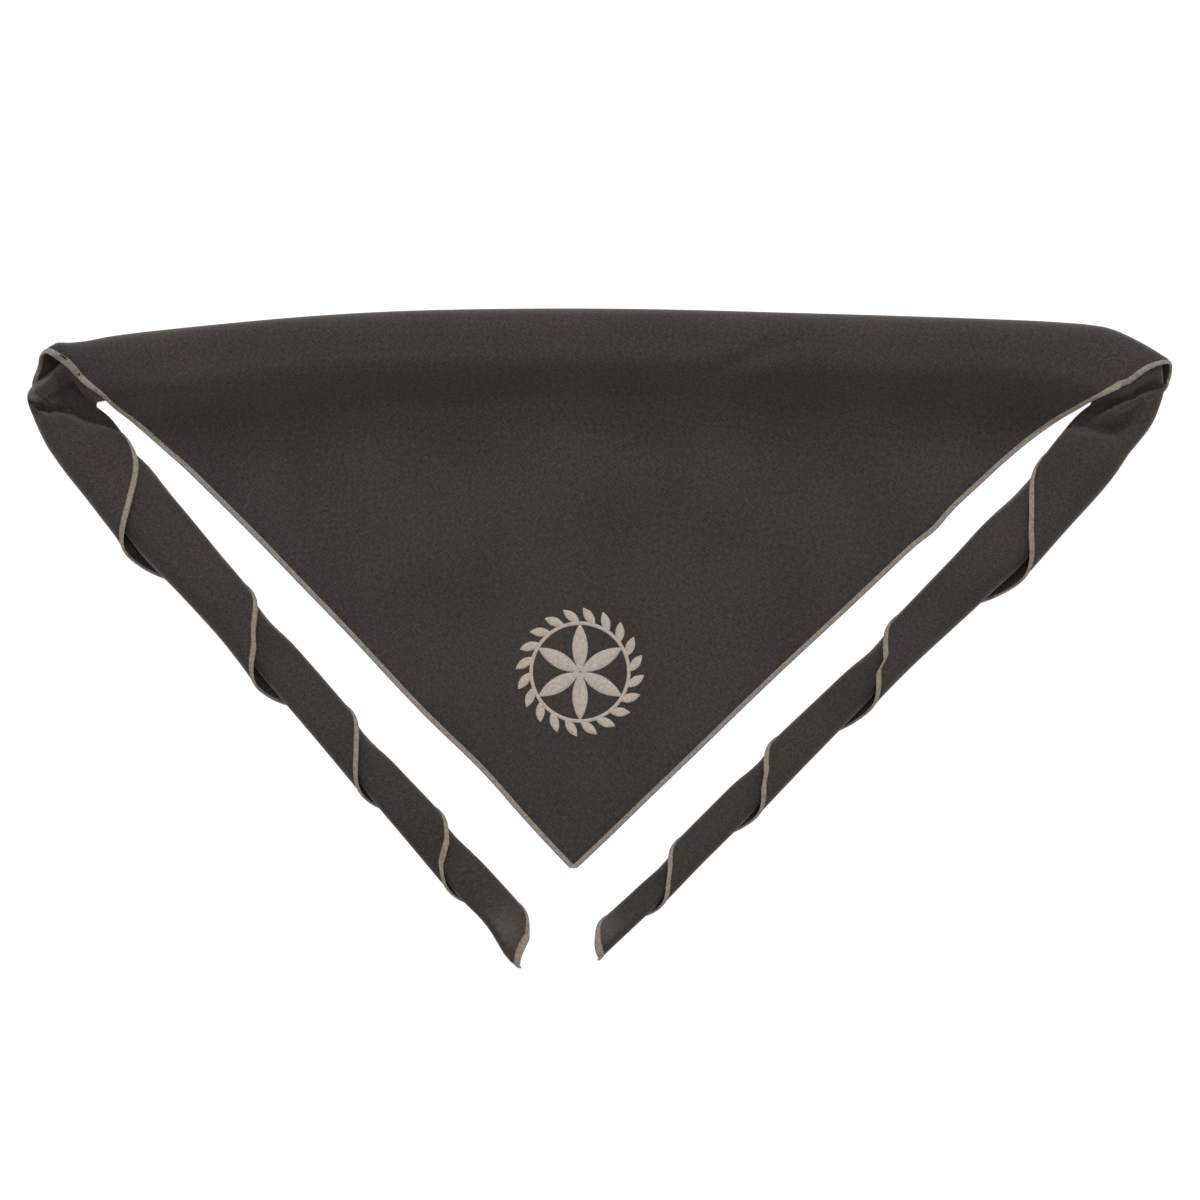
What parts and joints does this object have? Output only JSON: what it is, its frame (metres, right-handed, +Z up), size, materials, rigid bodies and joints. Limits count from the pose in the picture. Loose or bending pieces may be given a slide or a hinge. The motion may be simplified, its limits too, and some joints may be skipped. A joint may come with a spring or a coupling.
{
  "type": "neckerchief",
  "caption": "Triangular cloth neckerchief laid flat, rolled from its long edge into two tails, with an overlocked edge binding and an embroidered rosette above the point.",
  "frame": {"origin": "centre of the bounding box in X and Y, on the underside of the panel, where the cloth lies on the table", "axes": "+X to the right along the roll as the panel faces up, +Y away from the panel's point, +Z up off the table"},
  "size_m": [0.5277, 0.3032, 0.0252],
  "materials": {
    "charcoal_poplin": "plain woven poly-cotton, charcoal brown, matt, faintly heathered",
    "stone_thread": "overlocked polyester thread, stone colour",
    "pale_thread": "satin stitched rayon thread, pale stone colour, with a soft sheen"
  },
  "bodies": {
    "root": {"cloth": "charcoal_poplin", "edge_binding": "stone_thread", "embroidery": "pale_thread"}
  },
  "joints": []
}
